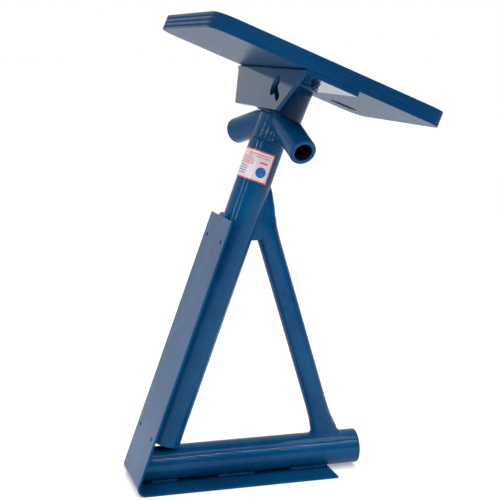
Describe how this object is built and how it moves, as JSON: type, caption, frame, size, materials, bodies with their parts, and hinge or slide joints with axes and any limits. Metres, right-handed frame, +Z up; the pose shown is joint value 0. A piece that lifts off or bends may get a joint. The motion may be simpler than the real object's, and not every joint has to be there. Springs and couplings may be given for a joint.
{
  "type": "screw jack support stand",
  "caption": "Welded tube triangle on a bent flat bar; a T-handled nut on its leaning post raises a screw that carries a swivelling plywood pad.",
  "frame": {"origin": "middle of the bounding box's footprint, on the plane the base bar stands on", "axes": "+X runs along the base tube to its free end, +Y across the stand to its far side, +Z up"},
  "size_m": [0.3414, 0.2714, 0.5542],
  "materials": {
    "blue_paint": "gloss dark blue paint over welded steel tube and flat bar",
    "painted_casting": null,
    "painted_plywood": "plywood sealed all over with the same blue paint, grain showing through",
    "bare_steel": "oiled bare steel",
    "painted_fastener": "zinc-plated carriage bolts, painted over with the bracket",
    "label_film": null
  },
  "bodies": {
    "frame": {"bent_bar": "blue_paint", "post_tube": "blue_paint", "base_tube": "blue_paint", "brace_tube": "blue_paint", "base_seam_near_1": "blue_paint", "base_seam_near_2": "blue_paint", "base_seam_near_3": "blue_paint", "post_seam_near_1": "blue_paint", "post_seam_near_2": "blue_paint", "post_seam_near_3": "blue_paint", "base_seam_far_1": "blue_paint", "base_seam_far_2": "blue_paint", "base_seam_far_3": "blue_paint", "post_seam_far_1": "blue_paint", "post_seam_far_2": "blue_paint", "post_seam_far_3": "blue_paint", "post_foot_bead": "blue_paint", "brace_foot_bead": "blue_paint", "apex_bead": "blue_paint", "bar_top_bead": "blue_paint", "label": "label_film"},
    "handle": {"handle_nut": "painted_casting"},
    "screw": {"jack_screw": "bare_steel", "thrust_collar": "bare_steel"},
    "head": {"socket_tube": "blue_paint", "keeper_ring": "blue_paint", "socket_bead": "blue_paint", "bracket": "blue_paint", "pad_board": "painted_plywood", "pad_bolt_near": "painted_fastener", "bolt_washer_near": "painted_fastener", "bolt_nut_near": "painted_fastener", "pad_bolt_far": "painted_fastener", "bolt_washer_far": "painted_fastener", "bolt_nut_far": "painted_fastener"}
  },
  "joints": [
    {"name": "screw_lift", "type": "slide", "parent": "frame", "child": "screw", "axis": [0.3898, 0, 0.9209], "range_m": [0, 0.1]},
    {"name": "handle_turn", "type": "hinge", "parent": "frame", "child": "handle", "pos_m": [0.00766, 0, 0.42111], "axis": [0.3898, 0, 0.9209], "range_deg": [-7100, 0]},
    {"name": "head_swivel", "type": "hinge", "parent": "screw", "child": "head", "pos_m": [0.02906, 0, 0.47167], "axis": [0.3898, 0, 0.9209], "continuous": true}
  ],
  "couplings": [
    {"joint": "handle_turn", "follows": "screw_lift", "rad_per_m": -1236.8}
  ]
}
